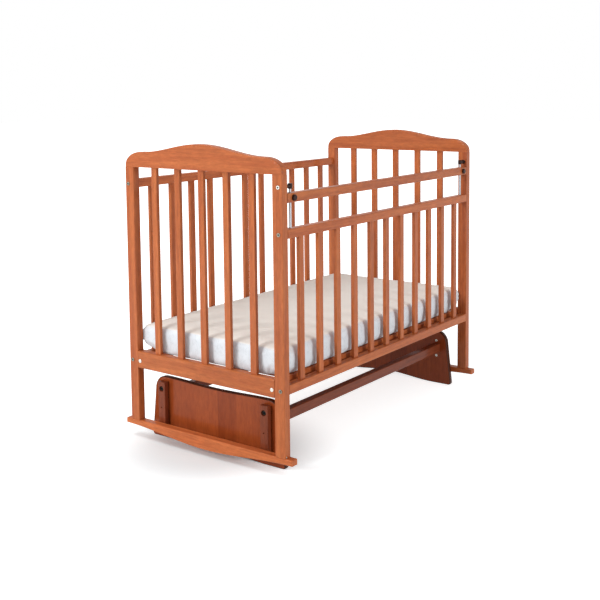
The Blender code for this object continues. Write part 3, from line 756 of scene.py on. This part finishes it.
# Rods, their heads, and the latch knobs
rodSet = {"ease": 0.0016, "neck": 0.0058, "flange": 0.0082, "flangeThick": 0.005, "slimmer": 0.001}
knobSet = {"ease": 0.0030, "footEase": 0.0010, "pin": 0.003}
for end, sx in ends.items():
    node = f"guide_rod_{end}"
    low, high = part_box(node)
    x, y = (low.x + high.x) / 2, (low.y + high.y) / 2
    rod = addRound((x, y, low.z), (x, y, high.z), (high.x - low.x) / 2, 48)
    finishPiece(rod, f"look_{node}", chrome, "crib", node, slot="chrome_rod")
    node = f"rod_head_{end}"
    low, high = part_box(node)
    radius = (high.z - low.z) / 2 - rodSet["slimmer"]
    barrel = addRound((x, y, low.z), (x, y, high.z), radius)
    for z in (low.z, high.z):
        easeRim(barrel, (x, y, z), radius, rodSet["ease"])
    z = (low.z + high.z) / 2
    face = sx * (innerX - seam)
    neck = addRound((x, y, z), (face, y, z), rodSet["neck"])
    flange = addRound((face - sx * rodSet["flangeThick"], y, z), (face, y, z), rodSet["flange"])
    easeRim(flange, (face - sx * rodSet["flangeThick"], y, z), rodSet["flange"], rodSet["ease"])
    head = joinPieces([barrel, neck, flange])
    finishPiece(head, f"look_{node}", darkPlastic, "crib", node, slot="dark_plastic")
    node = f"latch_knob_{end}"
    low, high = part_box(node)
    z = (low.z + high.z) / 2
    radius = (high.x - low.x) / 2
    foot = (x, seam - halfWidth, z)
    knob = addRound(foot, (x, low.y, z), radius, 48)
    easeRim(knob, (x, low.y, z), radius, knobSet["ease"], 6)
    easeRim(knob, foot, radius, knobSet["footEase"], 3)
    pin = addRound((x, high.y, z), foot, knobSet["pin"], 24)
    knob = joinPieces([knob, pin])
    finishPiece(knob, f"look_{node}", darkPlastic, f"knob_{end}", node, slot="dark_plastic")
print("fixings made")

# Pivot bolts at the runners keep their solids
for name, thing in frame["nodes"].items():
    if name.startswith("lower_pivot"):
        thing.data.materials.clear()
        thing.data.materials.append(zinc)

# Small hardware: screws in the end rails and through the boards into the stretchers, inserts on the
# boards' inner faces, and pins at the posts' feet. The cross's size and depth are shares of the head.
screwSet = {
    "endRail": 0.0064,
    "stretcher": 0.0042,
    "foot": 0.0030,
    "inner": 0.0052,
    "tall": 0.0012,
    "under": 0.001,
    "slot": 0.0016,
    "easeShare": 0.6,
    "slotLongShare": 0.62,
    "slotDeepShare": 0.7,
    "endRailY": 0.2925,
    "endRailZ": 0.2785,
    "innerY": 0.233,
    "innerDrop": (0.027, 0.089),
    "footZ": 0.0035,
    "footInset": 0.008,
}


def addScrew(place, direction, radius):
    place, direction = Vector(place), Vector(direction)
    top = place + direction * screwSet["tall"]
    screw = addRound(place - direction * screwSet["under"], top, radius, 28)
    easeRim(screw, top, radius, screwSet["tall"] * screwSet["easeShare"], 3)
    half = screwSet["slot"] / 2
    across = direction.orthogonal().normalized()
    up = direction.cross(across)
    deep = direction * screwSet["tall"] * screwSet["slotDeepShare"]
    for long, wide in ((across, up), (up, across)):
        corner = long * radius * screwSet["slotLongShare"] + wide * half + deep
        combine(screw, addBlock(top - corner, top + corner))
    return screw


# Washers on the pivots: against the boards at the upper ones, against the runners at the lower ones
washerSet = {"radius": 0.0088, "hole": 0.0048, "slack": 0.0002}


def addWasher(first, last, y, z):
    first, last = ordered(first, last)
    start, end = (first + washerSet["slack"], y, z), (last - washerSet["slack"], y, z)
    washer = addRound(start, end, washerSet["radius"], 32)
    return combine(washer, addRound((first, y, z), (last, y, z), washerSet["hole"], 24))


screws = {"crib": [], "pendulum_base": []}
for end, sx in ends.items():
    boardLow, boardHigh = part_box(f"base_board_{end}")
    outer, inner = (boardLow.x, boardHigh.x) if sx < 0 else (boardHigh.x, boardLow.x)
    for side, sy in sides.items():
        out = (sx, 0, 0)
        place = (sx * halfLength, sy * screwSet["endRailY"], screwSet["endRailZ"])
        screws["crib"].append(addScrew(place, out, screwSet["endRail"]))
        place = (sx * (halfLength - screwSet["footInset"]), sy * halfWidth, runnerTop + screwSet["footZ"])
        screws["crib"].append(addScrew(place, (0, sy, 0), screwSet["foot"]))
        low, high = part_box(f"stretcher_{side}")
        place = (outer, (low.y + high.y) / 2, (low.z + high.z) / 2)
        screws["pendulum_base"].append(addScrew(place, out, screwSet["stretcher"]))
        armLow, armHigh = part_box(f"arm_{end}_{side}")
        armFaces = (armLow.x, armHigh.x) if sx < 0 else (armHigh.x, armLow.x)
        low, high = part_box(f"upper_pivot_{end}_{side}")
        place = ((low.y + high.y) / 2, (low.z + high.z) / 2)
        screws["pendulum_base"].append(addWasher(armFaces[1], outer, *place))
        low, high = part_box(f"lower_pivot_{end}_{side}")
        place = ((low.y + high.y) / 2, (low.z + high.z) / 2)
        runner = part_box(f"runner_{end}")
        screws["crib"].append(addWasher(runner[1].x if sx < 0 else runner[0].x, armFaces[0], *place))
        for drop in screwSet["innerDrop"]:
            place = (inner, sy * screwSet["innerY"], armHigh.z - drop)
            screws["pendulum_base"].append(addScrew(place, (-sx, 0, 0), screwSet["inner"]))
# The screws take the lit copy of zinc: painted light
for body, parts in screws.items():
    finishPiece(joinPieces(parts), f"look_screws_{body}", litZinc, body, slot="zinc_steel", smooth=35)
print("screws made")


# Mattress in its fitted cotton sheet, one cloth painted ivory where it faces up and cooler on its sides:
# painted light, warm from above and cool from the side
clothSet = {
    "top": (0.90, 0.865, 0.80, 1),
    "side": (0.76, 0.81, 0.855, 1),
    "threads": 1500,
    "seamStart": 0.545,
    "seamOffset": 0.290,
    "seamWidth": 0.0012,
}


def makeSheetCloth():
    material, tree, shader = newMaterial("sheetCloth")
    place = addNode(tree, "ShaderNodeTexCoord").outputs["Object"]
    cloud = addNoise(tree, place, (6, 6, 6), Detail=4, Roughness=0.55)
    crease = addNoise(tree, place, (26, 26, 15), Detail=5, Roughness=0.6, Distortion=1.2)
    facing = addNode(tree, "ShaderNodeSeparateXYZ")
    tree.links.new(addNode(tree, "ShaderNodeNewGeometry").outputs["Normal"], facing.inputs[0])
    # Painted light: faces that look up take the lit top colour, and faces that look aside take the cooler
    # side colour
    up = ramp(tree, facing.outputs["Z"], [(0.45, grey(0)), (0.88, grey(1))])
    base = mixColour(tree, clothSet["side"], clothSet["top"], up)
    # Painted shade in the creases: dark lines along the crease noise on the sheet's sides, none where it
    # faces up
    lines = ramp(tree, crease, [(0.478, grey(1)), (0.50, grey(0.87)), (0.522, grey(1))])
    base = mixColour(tree, base, mixColour(tree, lines, grey(1), up), 1.0, "MULTIPLY")
    shade = ramp(tree, cloud, [(0.3, grey(0.96)), (0.7, grey(1.02))])
    base = mixColour(tree, base, shade, 1.0, "MULTIPLY")
    split = addNode(tree, "ShaderNodeSeparateXYZ")
    tree.links.new(place, split.inputs[0])
    waves = []
    for axis in "XYZ":
        turns = calculate(tree, "MULTIPLY", split.outputs[axis], clothSet["threads"] * pi)
        waves.append(calculate(tree, "ABSOLUTE", calculate(tree, "SINE", turns)))
    weave = calculate(tree, "ADD", calculate(tree, "ADD", waves[0], waves[1]), waves[2])
    absX = calculate(tree, "ABSOLUTE", split.outputs["X"])
    absY = calculate(tree, "ABSOLUTE", split.outputs["Y"])
    offset = calculate(tree, "SUBTRACT", calculate(tree, "SUBTRACT", absX, absY), clothSet["seamOffset"])
    line = calculate(tree, "LESS_THAN", calculate(tree, "ABSOLUTE", offset), clothSet["seamWidth"])
    atCorner = calculate(tree, "GREATER_THAN", absX, clothSet["seamStart"])
    sew = calculate(tree, "MULTIPLY", line, atCorner)
    base = mixColour(tree, base, mixColour(tree, base, grey(0.80), 1.0, "MULTIPLY"), sew)
    tree.links.new(base, shader.inputs["Base Color"])
    relief = addNode(tree, "ShaderNodeBump")
    setInputs(relief, Strength=0.35, Distance=0.003)
    tree.links.new(calculate(tree, "SUBTRACT", crease, sew), relief.inputs["Height"])
    threads = addNode(tree, "ShaderNodeBump")
    setInputs(threads, Strength=0.06, Distance=0.0003)
    tree.links.new(weave, threads.inputs["Height"])
    tree.links.new(relief.outputs[0], threads.inputs["Normal"])
    tree.links.new(threads.outputs[0], shader.inputs["Normal"])
    shader.inputs["Roughness"].default_value = 0.88
    shader.inputs["Specular IOR Level"].default_value = 0.2
    shader.inputs["Sheen Weight"].default_value = 0.12
    return material


sheetCloth = makeSheetCloth()
padSet = {
    "inset": 0.008,
    "under": 0.002,
    "corner": 0.007,
    "top": 0.036,
    "bottom": 0.012,
    "voxel": 0.010,
    "pressure": 4,
    "frames": 20,
    "cap": 0.008,
    "farSide": 0.3122,
    "farEnd": 0.5953,
    "gather": 0.0060,
    "fold": 0.0042,
    "crease": 0.0018,
    "pinch": 0.028,
    "fullness": 0.010,
    "pinchReach": 0.085,
    "pinchLow": 4,
    "pinchHigh": 5,
    "pinchHighShare": 0.3,
    "bulge": 0.006,
    "rippleFine": 9,
    "rippleStart": 1.7,
    "rippleShare": 0.5,
    "edgeSteps": 8,
    "bottomSteps": 5,
}
# Long creases over the top: a point on each, its direction in degrees, and how far it runs
creases = [
    ((-0.50, 0.10), 68, 0.26),
    ((-0.43, -0.12), 110, 0.20),
    ((-0.54, -0.16), 40, 0.15),
    ((-0.36, 0.17), 25, 0.22),
    ((0.10, 0.22), 8, 0.35),
    ((0.30, -0.24), -6, 0.30),
    ((0.48, 0.05), 96, 0.20),
    ((-0.10, -0.26), 4, 0.28),
]

low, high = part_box("mattress")
inset = Vector([padSet["inset"]] * 3)
pad = addBlock((low.x + inset.x, low.y + inset.y, low.z + padSet["under"]), high - inset)
tall = high.z - low.z
middle = (low.z + high.z) / 2
bevelEdges(pad, lambda start, end: abs(start.z - end.z) > tall / 2, padSet["corner"], padSet["edgeSteps"])
bevelEdges(pad, lambda start, end: min(start.z, end.z) > middle, padSet["top"], padSet["edgeSteps"])
bottomRim = low.z + padSet["inset"]
bevelEdges(pad, lambda start, end: max(start.z, end.z) < bottomRim, padSet["bottom"], padSet["bottomSteps"])
remesh = pad.modifiers.new("remesh", "REMESH")
remesh.mode = "VOXEL"
remesh.voxel_size = padSet["voxel"]
bpy.ops.object.modifier_apply(modifier="remesh")


# Blows a closed piece up with Cloth, and holds each point within the cap of where it was
def inflate(piece, settings):
    before = [vert.co.copy() for vert in piece.data.vertices]
    cloth = piece.modifiers.new("cloth", "CLOTH")
    cloth.settings.use_pressure = True
    cloth.settings.uniform_pressure_force = settings["pressure"]
    cloth.settings.effector_weights.gravity = 0
    for frame in range(1, settings["frames"] + 1):
        scene.frame_set(frame)
    selectOnly(piece)
    bpy.ops.object.modifier_apply(modifier="cloth")
    scene.frame_set(1)
    for vert, place in zip(piece.data.vertices, before):
        move = vert.co - place
        if move.length > settings["cap"]:
            vert.co = place + move.normalized() * settings["cap"]


# Stretches a piece to fill the box between two corners, because the pressure alone stops short of it
def stretchTo(piece, first, last):
    for axis in range(3):
        places = [vert.co[axis] for vert in piece.data.vertices]
        start, end = min(places), max(places)
        for vert in piece.data.vertices:
            vert.co[axis] = first[axis] + (vert.co[axis] - start) / (end - start) * (last[axis] - first[axis])


inflate(pad, padSet)
stretchTo(pad, (low.x, low.y, low.z + padSet["under"] - padSet["cap"]), high)
divide = pad.modifiers.new("divide", "SUBSURF")
divide.levels = divide.render_levels = 1
selectOnly(pad)
bpy.ops.object.modifier_apply(modifier="divide")


# How fine each wrinkle's noise is, where in the noise it starts, and how much of it counts
wrinkleSet = {
    "pleat": {"fine": 30, "up": 9, "start": 0, "weight": 2.4},
    "tuck": {"fine": 66, "up": 22, "start": 5, "weight": 0.9},
    "slant": {"fine": 15, "up": 24, "start": 3.1, "weight": 3},
    "gatherFull": 0.85,
    "gatherFade": 1.3,
    "foldFull": 0.6,
    "foldFar": 0.25,
    "foldNear": 0.75,
    "creaseAbove": 0.3,
    "creaseWidth": 0.007,
    "creaseBase": 2.718,
    "sway": 0.012,
    "swayTurns": 14,
    "swell": 0.0016,
    "swellFine": (5, 9),
    "swellStart": 7.7,
}


# How deep the sheet is drawn in at a point: elastic gathers low down, folds at the corners, creases on top
def wrinkleDepth(point, normal, rise, near):
    aside = 1 - abs(normal.z)
    shares = []
    for name in ("pleat", "tuck"):
        fine, up, start, weight = wrinkleSet[name].values()
        lines = noise.noise(Vector((point.x * fine, point.y * fine, point.z * up + start)))
        shares.append(abs(lines) * weight)
    gather = padSet["gather"] * aside * (1 - rise) ** wrinkleSet["gatherFade"]
    depth = gather * (wrinkleSet["gatherFull"] - shares[0] - shares[1])
    fine, up, start, weight = wrinkleSet["slant"].values()
    slant = noise.noise(Vector((point.x * fine + point.z * up, point.y * fine - point.z * up, start)))
    fold = padSet["fold"] * (wrinkleSet["foldFar"] + wrinkleSet["foldNear"] * near)
    depth += fold * (wrinkleSet["foldFull"] - abs(slant) * weight) * aside
    if normal.z > wrinkleSet["creaseAbove"]:
        for (x, y), angle, run in creases:
            away = Vector((point.x - x, point.y - y))
            along = Vector((cos(radians(angle)), sin(radians(angle))))
            side = away.cross(along) + wrinkleSet["sway"] * sin(away.dot(along) * wrinkleSet["swayTurns"])
            fade = max(0, 1 - abs(away.dot(along)) / run)
            soft = wrinkleSet["creaseBase"] ** (-((side / wrinkleSet["creaseWidth"]) ** 2))
            depth += padSet["crease"] * fade * soft
        fineX, fineY = wrinkleSet["swellFine"]
        swell = noise.noise(Vector((point.x * fineX, point.y * fineY, wrinkleSet["swellStart"])))
        depth += wrinkleSet["swell"] * swell
    return depth


pad.data.update()
moved = []
for vert in pad.data.vertices:
    rise = min(max((vert.co.z - low.z) / tall, 0), 1)
    corner = Vector((abs(vert.co.x) - high.x, abs(vert.co.y) - high.y))
    near = max(0, 1 - corner.length / padSet["pinchReach"])
    place = vert.co - vert.normal * wrinkleDepth(vert.co, vert.normal, rise, near)
    below = (1 - rise) ** padSet["pinchLow"]
    pull = padSet["pinch"] * near * (below + padSet["pinchHighShare"] * rise ** padSet["pinchHigh"])
    place.x -= pull if place.x > 0 else -pull
    place.y -= pull if place.y > 0 else -pull
    bulge = sin(pi * rise) * (1 - abs(vert.normal.z))
    fine = padSet["rippleFine"]
    ripple = noise.noise(Vector((place.x * fine, place.y * fine, padSet["rippleStart"])))
    place.y += vert.normal.y * padSet["bulge"] * bulge * (padSet["rippleShare"] + ripple)
    place += Vector((vert.normal.x, vert.normal.y, 0)) * padSet["fullness"] * near * bulge
    place.x = min(max(place.x, -padSet["farEnd"]), padSet["farEnd"])
    place.y = min(max(place.y, -padSet["farSide"]), padSet["farSide"])
    place.z = max(place.z, low.z)
    moved.append(place)
for vert, place in zip(pad.data.vertices, moved):
    vert.co = place
mattress = finishPiece(
    pad, "look_mattress", sheetCloth, "mattress", "mattress", slot="sheet_cotton", smooth=80
)
print("mattress made")

# Floor: pale paper with a painted glow that the camera and mirrors see, lifting it to white away from the
# near runner's shadow and painting out the shade under the crib
floorSet = {
    "shade": 0.86,
    "tints": ((0.3, (0.93, 0.98, 1)), (0.7, (0.94, 0.99, 1.01))),
    "size": 60,
    "shadow": (-0.60, 0.05, 0),
    "close": {"From_Min": 0.10, "From_Max": 0.54, "To_Min": 0.02, "To_Max": 0.73},
    "wide": {"From_Min": 1.1, "From_Max": 2.6, "To_Min": 0, "To_Max": 0.5},
}
selectOnly()
bpy.ops.mesh.primitive_plane_add(size=floorSet["size"], location=(0, 0, 0))
floor = bpy.context.object
floor.name = "floor"


def cameraOrMirrorRay(tree):
    rays = addNode(tree, "ShaderNodeLightPath").outputs
    seen = calculate(tree, "MAXIMUM", rays["Is Camera Ray"], rays["Is Glossy Ray"])
    return calculate(tree, "MAXIMUM", seen, rays["Is Transmission Ray"])


def makeFloorPaper():
    material, tree, shader = newMaterial("floorPaper")
    tree.nodes.remove(shader)
    place = addNode(tree, "ShaderNodeTexCoord").outputs["Object"]
    grain = addNoise(tree, place, (240, 240, 240), Detail=2)
    paper = addNode(tree, "ShaderNodeBsdfDiffuse")
    level = floorSet["shade"]
    shades = []
    for stop, tints in floorSet["tints"]:
        shades.append((stop, (level * tints[0], level * tints[1], level * tints[2], 1)))
    tree.links.new(ramp(tree, grain, shades), paper.inputs["Color"])
    # Painted light: the glow is weakest over the near runner's shadow and strong under and beyond the crib
    lifts = []
    for name, middlePoint in (("close", floorSet["shadow"]), ("wide", (0, 0, 0))):
        away = addNode(tree, "ShaderNodeVectorMath", operation="DISTANCE")
        tree.links.new(place, away.inputs[0])
        away.inputs[1].default_value = middlePoint
        lift = addNode(tree, "ShaderNodeMapRange", interpolation_type="SMOOTHSTEP")
        setInputs(lift, **floorSet[name])
        tree.links.new(away.outputs["Value"], lift.inputs[0])
        lifts.append(lift.outputs[0])
    glow = addNode(tree, "ShaderNodeEmission")
    strength = calculate(tree, "MULTIPLY", calculate(tree, "ADD", *lifts), cameraOrMirrorRay(tree))
    tree.links.new(strength, glow.inputs["Strength"])
    both = addNode(tree, "ShaderNodeAddShader")
    tree.links.new(paper.outputs[0], both.inputs[0])
    tree.links.new(glow.outputs[0], both.inputs[1])
    tree.links.new(both.outputs[0], tree.nodes["Material Output"].inputs["Surface"])
    return material


floor.data.materials.append(makeFloorPaper())

worldSet = {"strength": 0.53, "behind": 1}
world = bpy.data.worlds.new("studio")
scene.world = world
world.use_nodes = True
tree = world.node_tree
background = tree.nodes["Background"]
background.inputs["Strength"].default_value = worldSet["strength"]
background.inputs["Color"].default_value = grey(1)
white = addNode(tree, "ShaderNodeBackground")
white.inputs["Color"].default_value = grey(1)
white.inputs["Strength"].default_value = worldSet["behind"]
blend = addNode(tree, "ShaderNodeMixShader")
tree.links.new(cameraOrMirrorRay(tree), blend.inputs[0])
tree.links.new(background.outputs[0], blend.inputs[1])
tree.links.new(white.outputs[0], blend.inputs[2])
tree.links.new(blend.outputs[0], tree.nodes["World Output"].inputs["Surface"])


def addLight(name, origin, target, size, power):
    data = bpy.data.lights.new(name, "AREA")
    data.shape = "RECTANGLE"
    data.size, data.size_y = size
    data.energy = power
    light = bpy.data.objects.new(name, data)
    light.location = origin
    light.rotation_euler = (Vector(target) - Vector(origin)).to_track_quat("-Z", "Y").to_euler()
    scene.collection.objects.link(light)


lightSet = {
    "left": {"origin": (-4.6, 1.3, 2.2), "target": (-0.2, 0, 0.5), "size": (1.3, 1.3), "power": 114},
    "front": {"origin": (-0.6, -7.0, 1.6), "target": (0, 0, 0.5), "size": (1.4, 1.4), "power": 158},
    "top": {"origin": (-1.6, 1.6, 3.6), "target": (0, 0, 0.4), "size": (1.4, 1.4), "power": 40},
}
for name, values in lightSet.items():
    addLight(name, **values)

scene.view_settings.view_transform = "Standard"

print("scene made")
